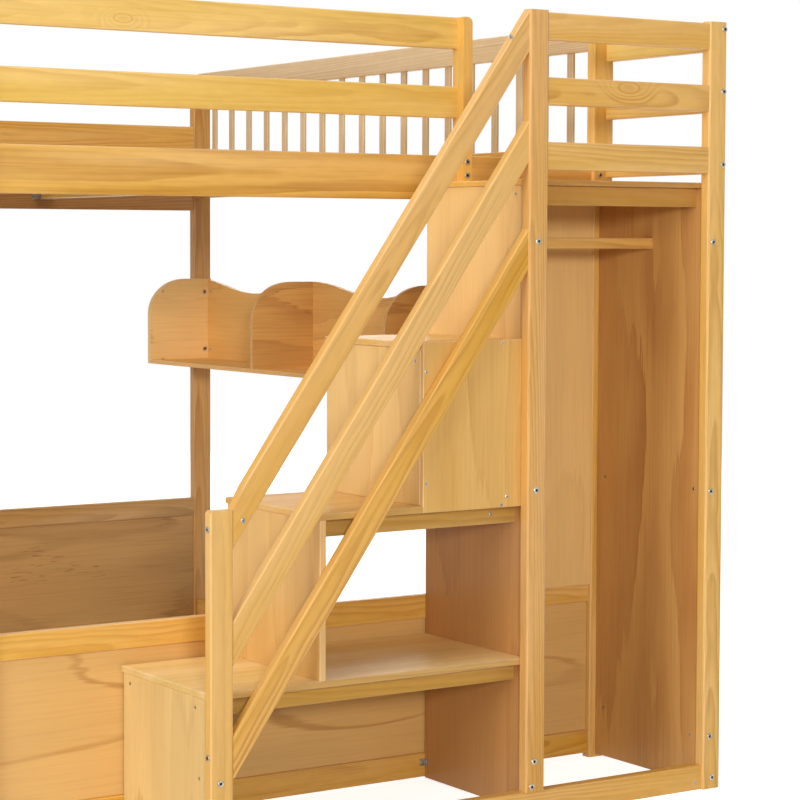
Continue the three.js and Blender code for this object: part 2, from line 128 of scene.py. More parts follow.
def shake(tree, place, pull, amount, **feeds):
    """A small move to every side, between plus and minus half of amount."""
    noise = stretch(tree, place, pull, **feeds).outputs["Color"]
    return scaled(tree, along(tree, "SUBTRACT", noise, [NOISE_MIDDLE] * 3), amount)


def blend_colours(tree, share, first, second):
    return fit(tree, "ShaderNodeMix", {0: share, 6: first, 7: second}, data_type="RGBA").outputs[2]


def retoned(tree, colour, value, saturation=1.0):
    feeds = {"Color": colour, "Value": value, "Saturation": saturation}
    return fit(tree, "ShaderNodeHueSaturation", feeds).outputs[0]


def on_piece(tree, kind):
    """Object or Normal coordinates of the piece itself."""
    return fit(tree, "ShaderNodeTexCoord").outputs[kind]


def height_in(tree):
    return fit(tree, "ShaderNodeSeparateXYZ", {0: on_piece(tree, "Object")}).outputs["Z"]


def pointing(tree, direction):
    """How far the surface faces a direction, from one to minus one."""
    return along(tree, "DOT_PRODUCT", on_piece(tree, "Normal"), tuple(direction))


def open_group(name, kind, inputs, outputs):
    tree = bpy.data.node_groups.new(name, kind)
    for way, sockets in (("INPUT", inputs), ("OUTPUT", outputs)):
        for label, form in sockets:
            tree.interface.new_socket(name=label, in_out=way, socket_type=form)
    return tree, tree.nodes.new("NodeGroupInput").outputs, tree.nodes.new("NodeGroupOutput").inputs


def emptied(block):
    """The bare node tree of a material or world."""
    block.use_nodes = True
    block.node_tree.nodes.clear()
    return block.node_tree


# Wood

NUMBER, VECTOR, COLOUR = "NodeSocketFloat", "NodeSocketVector", "NodeSocketColor"
WOOD_ENDS = [("Colour", COLOUR), ("Dullness", NUMBER), ("Relief", NUMBER)]

# Noise per metre along the grain and the two ways across it
PINE_SWAY, PINE_RIPPLE, PINE_PATCH = (1.1, 5.0, 5.0), (8.0, 14.0, 14.0), (1.3, 16.0, 16.0)
PINE_FIBRE, PINE_STREAK = (11.0, 520.0, 520.0), (3.0, 150.0, 150.0)
PINE_TONE, PINE_MOTTLE = (0.9, 11.0, 11.0), (24.0, 75.0, 75.0)
PEELED_FEATHER, PEELED_FLAME, PEELED_CLOUD = (5.0, 80.0, 80.0), (1.0, 4.4, 4.4), (2.0, 8.0, 8.0)
PEELED_STREAK, PEELED_SPECK, PEELED_HERD = (4.0, 170.0, 170.0), (16.0, 130.0, 130.0), (3.2, 8.0, 8.0)

# Where late wood, a knot's rim, a flame, its outline, a crosswise ply and an eased edge begin and end
LATE_WOOD_BAND = (0.2, 0.86), (0.88, 1.0)
KNOT_RIM_BAND = (0.82, 1.0), (1.02, 1.25)
FLAME_BAND, OUTLINE_BAND = ((0.05, 0.85), (0.9, 1.0)), ((0.88, 0.94), (0.95, 1.0))
PLY_BAND = (0.46, 0.54), (0.92, 1.0)
EASED_EDGE_BAND = (0.3, 0.5), (0.85, 0.97)

# Pine: how far the noises of two boards lie apart, and the shape of trunk, knots and rings
BOARD_STEP = 37.0
TRUNK_TAPER = 0.016
KNOT_LENGTHENING, KNOT_SWELL, KNOT_REACH = 0.42, 2.4, (0.3, 3.6)
RING_CHANGES, RING_UNEVENNESS = 55.0, 1.7
PINE_STREAK_SHARE, PEELED_STREAK_SHARE = 0.45, 0.32
PITH_NEAR, PITH_SPREAD = 0.035, 0.05

# Plywood: the step from one board to the next, a ply's thickness, and half the width of the soft edge of
# the painted shade below a tread
VENEER_STEP = 3.7, 1.3
PLY = 0.0036
SEAM = 0.004

# Finish
COAT_DULLNESS, LACQUER_IOR = 0.24, 1.45
LACQUERED, WAXED = 0.3, 0.12
BUMP_STRENGTH, PINE_RELIEF, VENEER_RELIEF = 0.5, 0.0004, 0.0003


def deliver(tree, ends, colour, dullness, relief):
    for label, socket in (("Colour", colour), ("Dullness", dullness), ("Relief", relief)):
        tree.links.new(socket, ends[label])


def solid_pine():
    """Growth rings round a pith beside the board, bent round a knot, with fibres and changes of tone."""
    tree, given, ends = open_group(
        "solid_pine", "ShaderNodeTree",
        [("Place", VECTOR), ("Pith", VECTOR), ("Knot", VECTOR), ("Knot radius", NUMBER), ("Ring", NUMBER),
         ("Wander", NUMBER), ("Waves", NUMBER), ("Figure", NUMBER), ("Early wood", COLOUR),
         ("Late wood", COLOUR)], WOOD_ENDS)
    place, pith, knot_radius = given["Place"], given["Pith"], given["Knot radius"]
    spot = along(tree, "ADD", place, scaled(tree, pith, BOARD_STEP))

    # Distance from the pith, swayed and rippled, and swollen near the knot
    sway = shake(tree, spot, PINE_SWAY, given["Wander"], Detail=2.0, Roughness=0.5)
    ripple = shake(tree, spot, PINE_RIPPLE, given["Waves"], Detail=1.0)
    bent = along(tree, "ADD", along(tree, "ADD", place, sway), ripple)
    bent = along(tree, "SUBTRACT", bent, pith)
    across = along(tree, "LENGTH", along(tree, "MULTIPLY", bent, (0.0, 1.0, 1.0)))
    lengthwise = along(tree, "DOT_PRODUCT", bent, (TRUNK_TAPER, 0.0, 0.0))
    from_knot = along(tree, "SUBTRACT", place, given["Knot"])
    from_knot = along(tree, "LENGTH", along(tree, "MULTIPLY", from_knot, (KNOT_LENGTHENING, 1.0, 0.0)))
    apart = work_out(tree, "DIVIDE", from_knot, work_out(tree, "MAXIMUM", knot_radius, 1e-5))
    swell = work_out(tree, "MULTIPLY", ease(tree, apart, *KNOT_REACH, KNOT_SWELL, 0.0), knot_radius)
    reach = work_out(tree, "ADD", work_out(tree, "ADD", across, lengthwise), swell)

    # Late wood of each ring, stronger in some stretches than in others
    uneven = fit(tree, "ShaderNodeTexNoise", {
        "W": reach, "Scale": RING_CHANGES, "Detail": 1.0}, noise_dimensions="1D")
    rings = work_out(tree, "DIVIDE", reach, given["Ring"])
    count = work_out(tree, "MULTIPLY_ADD", strength_of(uneven), RING_UNEVENNESS, rings)
    late = band(tree, work_out(tree, "FRACT", count), *LATE_WOOD_BAND)
    patch = strength_of(stretch(tree, spot, PINE_PATCH, Detail=1.0))
    shown = work_out(tree, "MULTIPLY", late, swing(tree, patch, 0.25, 1.0))
    streak = strength_of(stretch(tree, spot, PINE_STREAK, Detail=2.0, Roughness=0.6))
    drawn = work_out(tree, "MULTIPLY_ADD", ease(tree, streak, 0.45, 0.75), PINE_STREAK_SHARE, shown)
    drawn = work_out(tree, "MULTIPLY", drawn, given["Figure"])
    knot_rim = band(tree, apart, *KNOT_RIM_BAND, top=0.85)
    knot = work_out(tree, "MAXIMUM", knot_rim, ease(tree, apart, 0.2, 1.0, 0.45, 0.0))
    share = work_out(tree, "MAXIMUM", drawn, knot)
    base = blend_colours(tree, share, given["Early wood"], given["Late wood"])

    # Fibres, slow changes of tone and a fine mottle
    fibre = strength_of(stretch(tree, spot, PINE_FIBRE, Detail=2.0, Roughness=0.6))
    tone = strength_of(stretch(tree, spot, PINE_TONE, Detail=2.0))
    mottle = strength_of(stretch(tree, spot, PINE_MOTTLE, Detail=2.0))
    lift = work_out(tree, "MULTIPLY_ADD", fibre, 0.1, 0.95)
    lift = work_out(tree, "MULTIPLY", lift, swing(tree, tone, 0.94, 1.05))
    lift = work_out(tree, "MULTIPLY", lift, swing(tree, mottle, 0.975, 1.02))
    deliver(tree, ends,
            colour=retoned(tree, base, lift, swing(tree, tone, 1.06, 0.95)),
            dullness=swing(tree, fibre, 0.36, 0.48),
            relief=work_out(tree, "MULTIPLY_ADD", shown, 0.5, fibre))
    return tree


def peeled_veneer():
    """Plywood: feathered flames of rotary-cut veneer on its faces, and the plies along its edges."""
    tree, given, ends = open_group(
        "peeled_veneer", "ShaderNodeTree",
        [("Place", VECTOR), ("Seed", VECTOR), ("Faceward", NUMBER), ("Flames", NUMBER), ("Figure", NUMBER),
         ("Fill", NUMBER), ("Outline", NUMBER), ("Feather", NUMBER), ("Flecks", NUMBER),
         ("Early wood", COLOUR), ("Late wood", COLOUR)], WOOD_ENDS)
    early, late = given["Early wood"], given["Late wood"]
    spot = along(tree, "ADD", given["Place"], given["Seed"])

    # Flames: contours of a slow field, feathered along the grain, each with a dark outline
    feather = strength_of(stretch(tree, spot, PEELED_FEATHER, Detail=3.0, Roughness=0.6))
    reach = work_out(tree, "MULTIPLY", work_out(tree, "SUBTRACT", feather, NOISE_MIDDLE), given["Feather"])
    shifted = along(tree, "ADD", spot, fit(tree, "ShaderNodeCombineXYZ", {"X": reach}).outputs[0])
    slow = strength_of(stretch(tree, shifted, PEELED_FLAME, Detail=1.6, Roughness=0.42))
    season = work_out(tree, "FRACT", work_out(tree, "MULTIPLY", slow, given["Flames"]))
    inner = band(tree, season, *FLAME_BAND, top=0.6)
    rim = band(tree, season, *OUTLINE_BAND, top=0.5)
    flame = work_out(tree, "MULTIPLY", inner, given["Fill"])
    line = work_out(tree, "MULTIPLY", rim, given["Outline"])
    cloud = strength_of(stretch(tree, spot, PEELED_CLOUD, Detail=2.0))
    shown = work_out(tree, "ADD", flame, line)
    shown = work_out(tree, "MULTIPLY", shown, ease(tree, cloud, 0.35, 0.7, 0.3, 1.0))

    # Streaks everywhere, and flecks that keep together in small herds
    streak = strength_of(stretch(tree, spot, PEELED_STREAK, Detail=3.0, Roughness=0.65))
    drawn = work_out(tree, "MULTIPLY_ADD", ease(tree, streak, 0.4, 0.75), PEELED_STREAK_SHARE, shown)
    speck = strength_of(stretch(tree, spot, PEELED_SPECK, Detail=1.0))
    herd = strength_of(stretch(tree, spot, PEELED_HERD, Detail=1.0))
    flecks = work_out(tree, "MULTIPLY", ease(tree, speck, 0.58, 0.72), ease(tree, herd, 0.55, 0.68))
    flecks = work_out(tree, "MULTIPLY", flecks, given["Flecks"])
    face = blend_colours(tree, work_out(tree, "MULTIPLY_ADD", drawn, given["Figure"], flecks), early, late)

    # Every second ply runs crosswise and shows darker along the edges
    depth = fit(tree, "ShaderNodeSeparateXYZ", {0: given["Place"]}).outputs["Z"]
    layer = work_out(tree, "FRACT", work_out(tree, "DIVIDE", depth, PLY))
    edge = blend_colours(tree, band(tree, layer, *PLY_BAND, top=0.55), early, late)
    edge = retoned(tree, edge, 1.03, 0.94)
    whole = blend_colours(tree, ease(tree, given["Faceward"], 0.4, 0.6), edge, face)
    deliver(tree, ends,
            colour=retoned(tree, whole, swing(tree, cloud, 0.95, 1.04)),
            dullness=swing(tree, streak, 0.42, 0.56),
            relief=work_out(tree, "MULTIPLY_ADD", flame, 0.3, streak))
    return tree


PINE, VENEER = solid_pine(), peeled_veneer()

# Early and late wood of each finish, and darker or paler tones that paint shade or sheen on some faces and
# pieces
TONES = {
    "honey": ("DDAD5C", "BF8B42"),
    "wheat": ("E0AE5D", "C48F46"),
    "biscuit": ("DDAE63", "C39349"),
    "golden": ("E3B25E", "C79542"),
    "straw": ("E4BC68", "CB9C4E"),
    "pale": ("ECC977", "D3A85A"),
    "orange": ("DFAE58", "C88B3A"),
    # A pale tone for the first tread: painted sheen and light on its top
    "glow": ("F4D08C", "DAB06C"),
    "amber": ("DAA64F", "B97F34"),
    "sand": ("DCBB7C", "C39D62"),
    "almond": ("D8AB68", "B9894B"),
    "toast": ("DAA95E", "BC8B48"),
    # A paler, pinker tone: the tint of the guard's faces in shadow, painted on
    "shade_tinted_rosy": ("DABE95", "BA976C"),
    "pearl": ("EEC786", "D2A562"),
    "linen": ("E9BF7B", "CE9F5C"),
    "cream": ("DCB06B", "C2954F"),
    "tan": ("EBBA6E", "C79250"),
    # Painted shade on faces inside the wardrobe and at the back of the bed
    "shaded_russet": ("D09D59", "AD743C"),
    "oak": ("D9A65E", "B27C44"),
    # Painted shade on the front faces of the lower bed's head end
    "shaded_brown": ("BF945B", "987040"),
    # Painted shade on the left wardrobe wall below the treads
    "under_tread_shade": ("C28C51", "986838"),
    # Painted shade on the head rail's front face
    "nut": ("B28148", "8E6532"),
    "caramel": ("D8A45A", "BC8746"),
    "hay": ("E4BB77", "C89B58"),
    # Painted shade on the treads' front and back edges
    "shade": ("C69B56", "A67B3E"),
    # Painted shade on the landing board's front and back edges
    "umber": ("BF8C46", "A17134"),
}


def axis_of(vector):
    return max(range(3), key=lambda i: abs(vector[i]))


def lay_of(name, grain=None):
    """Centre of a board, the turn that puts its grain on X and its thickness on Z, and its thickness."""
    low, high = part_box(name)
    size = high - low
    grain = AXES[axis_of(size)] if grain is None else Vector(grain)
    across = [i for i in range(3) if i != axis_of(grain)]
    thin = AXES[min(across, key=lambda i: size[i])]
    along_board = (grain - thin * grain.dot(thin)).normalized()
    turn = Matrix((along_board, thin.cross(along_board), thin)).transposed()
    return (low + high) / 2, turn, thin, size.dot(thin)


def mapped(tree, centre, turn):
    feeds = {"Vector": on_piece(tree, "Object"), "Location": centre, "Rotation": turn.to_euler()}
    return fit(tree, "ShaderNodeMapping", feeds, vector_type="TEXTURE").outputs[0]


def facing_of(tree, thin):
    """One on the two wide faces of a board, zero along its edges."""
    return work_out(tree, "ABSOLUTE", pointing(tree, thin))


def toned(tree, tone, faces):
    """Early and late wood of a tone, with other tones on the faces that point in the given directions."""
    early, late = (lacquer(code) for code in TONES[tone])
    for direction, other in faces:
        share = ease(tree, pointing(tree, direction), 0.4, 0.6)
        early, late = (blend_colours(tree, share, ground, lacquer(code))
                       for ground, code in zip((early, late), TONES[other]))
    return early, late


def with_painted_edge_highlight(tree, colour, thin):
    """The colour, paler on the small slopes that ease a board's long edges: a painted highlight along them.
    """
    sloping = band(tree, facing_of(tree, thin), *EASED_EDGE_BAND)
    return blend_colours(tree, sloping, colour, retoned(tree, colour, 1.12, 0.86))


def finished(name, group, feeds_for, thin, coat, relief_height):
    """Lacquered wood, or waxed without a coat. Colour, dullness and relief come from a wood group."""
    material = bpy.data.materials.new(name)
    tree = emptied(material)
    wood = fit(tree, "ShaderNodeGroup", feeds_for(tree), node_tree=group).outputs
    bump = fit(tree, "ShaderNodeBump", {
        "Height": wood["Relief"], "Strength": BUMP_STRENGTH, "Distance": relief_height})
    # The base colour carries the painted highlight on the eased edges
    skin = fit(tree, "ShaderNodeBsdfPrincipled", {
        "Base Color": with_painted_edge_highlight(tree, wood["Colour"], thin), "Roughness": wood["Dullness"],
        "Normal": bump.outputs[0], "Coat Weight": coat, "Coat Roughness": COAT_DULLNESS,
        "IOR": LACQUER_IOR, "Specular IOR Level": LACQUERED if coat else WAXED})
    fit(tree, "ShaderNodeOutputMaterial", {"Surface": skin.outputs[0]})
    return material


def spread(count, step):
    """A different share of one for each count, without chance."""
    return (count * step) % 1.0


def pine_for(name, order, tone, grain=None, ring=0.006, figure=0.7, wander=0.022, waves=0.004,
             below=None, faces=(), knot=None, pith=None, coat=0.16):
    """Solid pine for one piece. below is (height, grain) of a lower part that runs another way, faces the
    other tones of some faces, and knot (x, y, z, radius) a knot in millimetres from the tower's corner."""
    centre, turn, thin = lay_of(name, grain)[:3]
    far = PITH_NEAR + PITH_SPREAD * spread(order, 0.618)
    side = PITH_SPREAD * (spread(order, 0.414) - 0.5)

    def feeds_for(tree):
        place = mapped(tree, centre, turn)
        if below:
            upper = work_out(tree, "GREATER_THAN", height_in(tree), below[0])
            low_part = mapped(tree, centre, lay_of(name, below[1])[1])
            feeds = {0: upper, 4: low_part, 5: place}
            place = fit(tree, "ShaderNodeMix", feeds, data_type="VECTOR").outputs[1]
        early, late = toned(tree, tone, faces)
        feeds = {"Place": place, "Pith": pith or (0.0, side, -far), "Ring": ring, "Wander": wander,
                 "Waves": waves, "Figure": figure, "Early wood": early, "Late wood": late,
                 "Knot radius": 0.0}
        if knot:
            feeds["Knot"] = turn.transposed() @ (from_tower(*knot[:3]) - centre)
            feeds["Knot radius"] = knot[3] * MM
        return feeds

    return finished("pine_" + name, PINE, feeds_for, thin, coat, PINE_RELIEF)


def veneer_for(name, order, tone, grain, flames=6.0, figure=0.6, fill=1.0, outline=1.0, feather=0.16,
               flecks=0.0, foot=None, faces=(), coat=0.12):
    """Plywood for one piece. foot is (height, tone) of its part below a tread, a darker tone painted there
    as shade.
    """
    centre, turn, thin, thickness = lay_of(name, grain)
    start = centre - thin * thickness / 2
    seed = [step * order for step in VENEER_STEP] + [0.0]

    def feeds_for(tree):
        early, late = toned(tree, tone, faces)
        # The part below the tread gets a darker tone: painted shade under the treads
        if foot:
            upper = ease(tree, height_in(tree), foot[0] - SEAM, foot[0] + SEAM)
            early, late = (blend_colours(tree, upper, lacquer(code), face)
                           for code, face in zip(TONES[foot[1]], (early, late)))
        return {"Place": mapped(tree, start, turn), "Faceward": facing_of(tree, thin), "Flames": flames,
                "Figure": figure, "Fill": fill, "Outline": outline, "Feather": feather, "Flecks": flecks,
                "Seed": seed, "Early wood": early, "Late wood": late}

    return finished("veneer_" + name, VENEER, feeds_for, thin, coat, VENEER_RELIEF)


SIDEWAYS, BACKWARDS, UPRIGHT = (tuple(axis) for axis in AXES)
SLOPE = (730.0, 0.0, 1018.0)

# Heights in metres where the grain turns, and where the painted shade under the second tread begins on the
# left wardrobe wall
GUARD_CAP, UPPER_SLATS, LOWER_SLATS, SECOND_TREAD = 1.7131, 1.4119, 0.0565, 0.68

STAIR_BOARD = dict(grain=SIDEWAYS, figure=0.4, coat=0.0)
# The treads' front and back edges take a darker tone: painted shade under their noses
SHADED_TREAD_EDGES = (FRONT, "shade"), (BACK, "shade")
# The right guard's front and left faces take the tint they show in shadow: painted shade
SHADE_TINTED_GUARD_FACES = (FRONT, "shade_tinted_rosy"), (LEFT, "shade_tinted_rosy")

PINE_PIECES = {
    "foot_post_right": dict(tone="golden"),
    "foot_post_left": dict(tone="golden"),
    # Its front and left faces take a darker tone: painted shade under the upper bed
    "head_post_right": dict(tone="golden", ring=0.005, faces=((FRONT, "shaded_russet"), (LEFT, "shaded_russet"))),
    "head_post_left": dict(tone="caramel"),
    "tower_post_left": dict(tone="caramel", figure=0.7, ring=0.005, wander=0.03),
    "tower_post_right": dict(tone="golden", figure=0.75, wander=0.03, waves=0.007, ring=0.005),
    "base_rail": dict(tone="wheat"),
    "newel_post": dict(tone="biscuit", figure=0.6, wander=0.035, ring=0.008),
    "entry_post": dict(tone="golden", grain=UPRIGHT, figure=0.5),
    "tower_front_rail_top": dict(tone="wheat", figure=0.35, wander=0.035),
    "tower_front_rail_middle": dict(tone="wheat", figure=0.9, ring=0.008, waves=0.012,
                                    knot=(274, 2, 1592, 12)),
    "tower_front_rail_low": dict(tone="honey", figure=0.55, wander=0.03),
    "tower_side_rail_top": dict(tone="pale"),
    "tower_side_rail_middle": dict(tone="straw"),
    "tower_side_rail_low": dict(tone="straw"),
    "handrail_top": dict(tone="toast", grain=SLOPE, figure=0.6, wander=0.03),
    "handrail_middle": dict(tone="biscuit", grain=SLOPE, figure=0.55, wander=0.03),
    "handrail_low": dict(tone="amber", grain=SLOPE, figure=0.75, wander=0.03),
    "foot_rail": dict(tone="honey", figure=0.9, ring=0.02, wander=0.034, pith=(0.3, -0.01, -0.06)),
    "foot_guard_low": dict(tone="straw", figure=0.5, wander=0.03),
    "foot_guard_top": dict(tone="straw", figure=0.7, waves=0.008, knot=(-764, 411, 1722, 9)),
    # Its front face takes a much darker tone: painted shade under the upper bed
    "head_rail": dict(tone="wheat", faces=((FRONT, "nut"),)),
    "head_guard_low": dict(tone="amber"),
    "head_guard_top": dict(tone="amber"),
    "side_rail_right": dict(tone="amber"),
    "side_rail_left": dict(tone="golden"),
    # Its front and left faces carry the painted shade tint
    "side_guard_right": dict(tone="straw", below=(GUARD_CAP, UPRIGHT), figure=0.5, faces=SHADE_TINTED_GUARD_FACES),
    "side_guard_left": dict(tone="straw", below=(GUARD_CAP, UPRIGHT), figure=0.5),
    "bed_slats": dict(tone="straw", grain=SIDEWAYS, below=(UPPER_SLATS, BACKWARDS)),
    "lower_bed_slats": dict(tone="straw", grain=SIDEWAYS, below=(LOWER_SLATS, BACKWARDS)),
    "hanging_rod": dict(tone="amber", figure=0.6),
    # The first tread's pale tone paints a sheen on its top; its left end keeps a plainer tone
    "tread_1": dict(tone="glow", faces=SHADED_TREAD_EDGES + ((LEFT, "sand"),), **STAIR_BOARD),
    "tread_2": dict(tone="cream", faces=SHADED_TREAD_EDGES, **STAIR_BOARD),
    "tread_3": dict(tone="cream", faces=SHADED_TREAD_EDGES, **STAIR_BOARD),
    # Its front and back edges take a darker tone: painted shade below the landing's edge
    "landing_board": dict(tone="wheat", faces=((FRONT, "umber"), (BACK, "umber")), **STAIR_BOARD),
    "lower_foot_top_rail": dict(tone="orange", figure=0.7, wander=0.04, waves=0.008),
    "lower_foot_bottom_rail": dict(tone="amber"),
    # The lower head rails' front faces take a darker tone: painted shade under the upper bed
    "lower_head_top_rail": dict(tone="honey", faces=((FRONT, "shaded_brown"),)),
    "lower_head_bottom_rail": dict(tone="honey", faces=((FRONT, "shaded_brown"),)),
    "lower_side_rail_left": dict(tone="golden"),
    "lower_side_rail_right": dict(tone="amber"),
}

VENEER_PIECES = {
    "riser_1": dict(tone="sand", grain=UPRIGHT, figure=0.8),
    "riser_2": dict(tone="cream", grain=UPRIGHT, figure=0.6, feather=0.25),
    "riser_3": dict(tone="hay", grain=UPRIGHT, figure=0.6, flames=5.0, feather=0.25),
    "stair_front_panel": dict(tone="biscuit", grain=UPRIGHT, figure=1.1, flames=7.0, feather=0.25),
    # Its lower part, under the treads, carries painted shade
    "wardrobe_wall_left": dict(tone="linen", grain=UPRIGHT, figure=0.6, flames=5.0, feather=0.25,
                               foot=(SECOND_TREAD, "under_tread_shade")),
    # Its left face, inside the wardrobe, takes a darker tone: painted shade
    "wardrobe_wall_right": dict(tone="toast", grain=UPRIGHT, figure=0.8, flames=5.5, fill=1.6,
                                feather=0.34, faces=((LEFT, "shaded_russet"),)),
    "wardrobe_back": dict(tone="linen", grain=UPRIGHT, figure=0.7, flames=3.0, fill=0.3, outline=0.5),
    "lower_foot_panel": dict(tone="almond", grain=SIDEWAYS, figure=0.75, flames=4.0, fill=0.35,
                             outline=2.6, feather=0.08),
    # Its front face takes a darker tone: painted shade under the upper bed
    "lower_head_panel": dict(tone="almond", grain=SIDEWAYS, figure=1.0, flames=4.0, fill=0.7,
                             flecks=0.8, faces=((FRONT, "shaded_brown"),)),
    "shelf_back": dict(tone="tan", grain=BACKWARDS, figure=0.8, flames=7.0, feather=0.25, coat=0.06),
    "shelf_bottom": dict(tone="tan", grain=BACKWARDS, coat=0.0),
    "shelf_end_foot": dict(tone="pearl", grain=SIDEWAYS, figure=0.7),
    "shelf_end_head": dict(tone="pearl", grain=SIDEWAYS, figure=0.9, fill=0.5, outline=1.4, feather=0.3),
    "shelf_divider_foot": dict(tone="oak", grain=SIDEWAYS, figure=0.9, flames=8.0),
    "shelf_divider_head": dict(tone="oak", grain=SIDEWAYS, figure=1.3, flames=8.0, feather=0.2),
}


# Metal

CLOUDINESS, DULLNESS_CHANGE = 160.0, 0.12
BRUSHING, BRUSH_STRENGTH, BRUSH_RELIEF = (900.0, 900.0, 2200.0), 0.25, 0.0001


def zinc_for(name, bright, dark, dullness):
    """Zinc-plated steel, with a faint cloudiness in its colour and gloss."""
    material = bpy.data.materials.new(name)
    tree = emptied(material)
    place = on_piece(tree, "Object")
    cloud = strength_of(fit(tree, "ShaderNodeTexNoise", {
        "Vector": place, "Scale": CLOUDINESS, "Detail": 3.0}))
    colour = blend_colours(tree, swing(tree, cloud, 0.0, 1.0), lacquer(bright), lacquer(dark))
    brushed = strength_of(stretch(tree, place, BRUSHING, Detail=1.0))
    bump = fit(tree, "ShaderNodeBump", {
        "Height": brushed, "Strength": BRUSH_STRENGTH, "Distance": BRUSH_RELIEF})
    skin = fit(tree, "ShaderNodeBsdfPrincipled", {
        "Base Color": colour, "Metallic": 1.0, "Normal": bump.outputs[0],
        "Roughness": swing(tree, cloud, dullness, dullness + DULLNESS_CHANGE)})
    fit(tree, "ShaderNodeOutputMaterial", {"Surface": skin.outputs[0]})
    return material


bright_zinc = zinc_for("bright_zinc", "C2BDB2", "928D83", 0.28)
recess_shade = zinc_for("recess_shade", "45413C", "262422", 0.5)

for pieces, finish_for in ((PINE_PIECES, pine_for), (VENEER_PIECES, veneer_for)):
    for order, (piece, choice) in enumerate(pieces.items(), 1):
        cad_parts[piece].data.materials[0] = finish_for(piece, order, **choice)
for piece in ("foot_hanger_left", "foot_hanger_right", "head_hanger_left", "head_hanger_right"):
    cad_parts[piece].data.materials[0] = bright_zinc


# Fasteners

CROWN_SHARE = 0.9
RECESS_FLOOR = 0.35
RECESS_SIDES = 12
TURN_SEED = 7


def joined(tree, *parts):
    join = tree.nodes.new("GeometryNodeJoinGeometry")
    for part in parts:
        tree.links.new(part, join.inputs[0])
    return join.outputs[0]


def head_tree():
    """A flat head with a softened rim and a recess, set on every given place and turned by chance."""
    tree, given, ends = open_group(
        "fastener_heads", "GeometryNodeTree",
        [("Places", "NodeSocketGeometry"), ("Sides", "NodeSocketInt"), ("Head radius", NUMBER),
         ("Head height", NUMBER), ("Rim", NUMBER), ("Recess points", "NodeSocketInt"),
         ("Recess inner", NUMBER), ("Recess outer", NUMBER), ("Metal", "NodeSocketMaterial"),
         ("Shade", "NodeSocketMaterial")],
        [("Heads", "NodeSocketGeometry")])

    # A plate with the recess cut out of it, raised to a wall and a slightly smaller crown
    rim = fit(tree, "GeometryNodeCurvePrimitiveCircle", {
        "Resolution": given["Sides"], "Radius": given["Head radius"]})
    recess = fit(tree, "GeometryNodeCurveStar", {
        "Points": given["Recess points"], "Inner Radius": given["Recess inner"],
        "Outer Radius": given["Recess outer"]})
    outline = joined(tree, rim.outputs[0], recess.outputs[0])
    plate = fit(tree, "GeometryNodeFillCurve", {0: outline}, mode="TRIANGLES").outputs[0]
    straight = work_out(tree, "SUBTRACT", given["Head height"], given["Rim"])
    wall = fit(tree, "GeometryNodeExtrudeMesh", {
        "Mesh": plate, "Offset Scale": straight, "Individual": False}).outputs
    crown = fit(tree, "GeometryNodeExtrudeMesh", {
        "Mesh": wall["Mesh"], "Selection": wall["Top"], "Offset Scale": given["Rim"],
        "Individual": False}).outputs
    eased = fit(tree, "GeometryNodeScaleElements", {
        "Geometry": crown["Mesh"], "Selection": crown["Top"], "Scale": CROWN_SHARE}, domain="FACE")
    back = fit(tree, "GeometryNodeFlipFaces", {0: plate})
    shell = joined(tree, eased.outputs[0], back.outputs[0])
    closed = fit(tree, "GeometryNodeMergeByDistance", {"Geometry": shell, "Distance": 1e-6})

    # The dark floor of the recess
    floor = fit(tree, "GeometryNodeMeshCircle", {
        "Vertices": RECESS_SIDES, "Radius": given["Recess outer"]}, fill_type="NGON")
    low = work_out(tree, "MULTIPLY", given["Head height"], RECESS_FLOOR)
    lift = fit(tree, "ShaderNodeCombineXYZ", {"Z": low}).outputs[0]
    raised = fit(tree, "GeometryNodeTransform", {"Geometry": floor.outputs[0], "Translation": lift})
    marked = fit(tree, "GeometryNodeStoreNamedAttribute", {
        "Geometry": raised.outputs[0], "Name": "recess", "Value": True}, data_type="BOOLEAN", domain="FACE")
    head = joined(tree, closed.outputs[0], marked.outputs[0])

    # One on each place, facing outward
    outward = fit(tree, "GeometryNodeInputNamedAttribute", {"Name": "outward"}, data_type="FLOAT_VECTOR")
    facing = fit(tree, "FunctionNodeAlignRotationToVector", {"Vector": outward.outputs[0]}, axis="Z")
    driven = fit(tree, "FunctionNodeRandomValue", {
        "Min": (0, 0, 0), "Max": (0, 0, math.tau), "Seed": TURN_SEED}, data_type="FLOAT_VECTOR")
    turned = fit(tree, "FunctionNodeRotateRotation", {
        "Rotation": facing.outputs[0], "Rotate By": driven.outputs[0]}, rotation_space="LOCAL")
    set_out = fit(tree, "GeometryNodeInstanceOnPoints", {
        "Points": given["Places"], "Instance": head, "Rotation": turned.outputs[0]})
    solid = fit(tree, "GeometryNodeRealizeInstances", {0: set_out.outputs[0]})
    plated = fit(tree, "GeometryNodeSetMaterial", {
        "Geometry": solid.outputs[0], "Material": given["Metal"]})
    inside = fit(tree, "GeometryNodeInputNamedAttribute", {"Name": "recess"}, data_type="BOOLEAN")
    shaded = fit(tree, "GeometryNodeSetMaterial", {
        "Geometry": plated.outputs[0], "Selection": inside.outputs[0], "Material": given["Shade"]})
    tree.links.new(shaded.outputs[0], ends["Heads"])
    return tree


HEADS = head_tree()


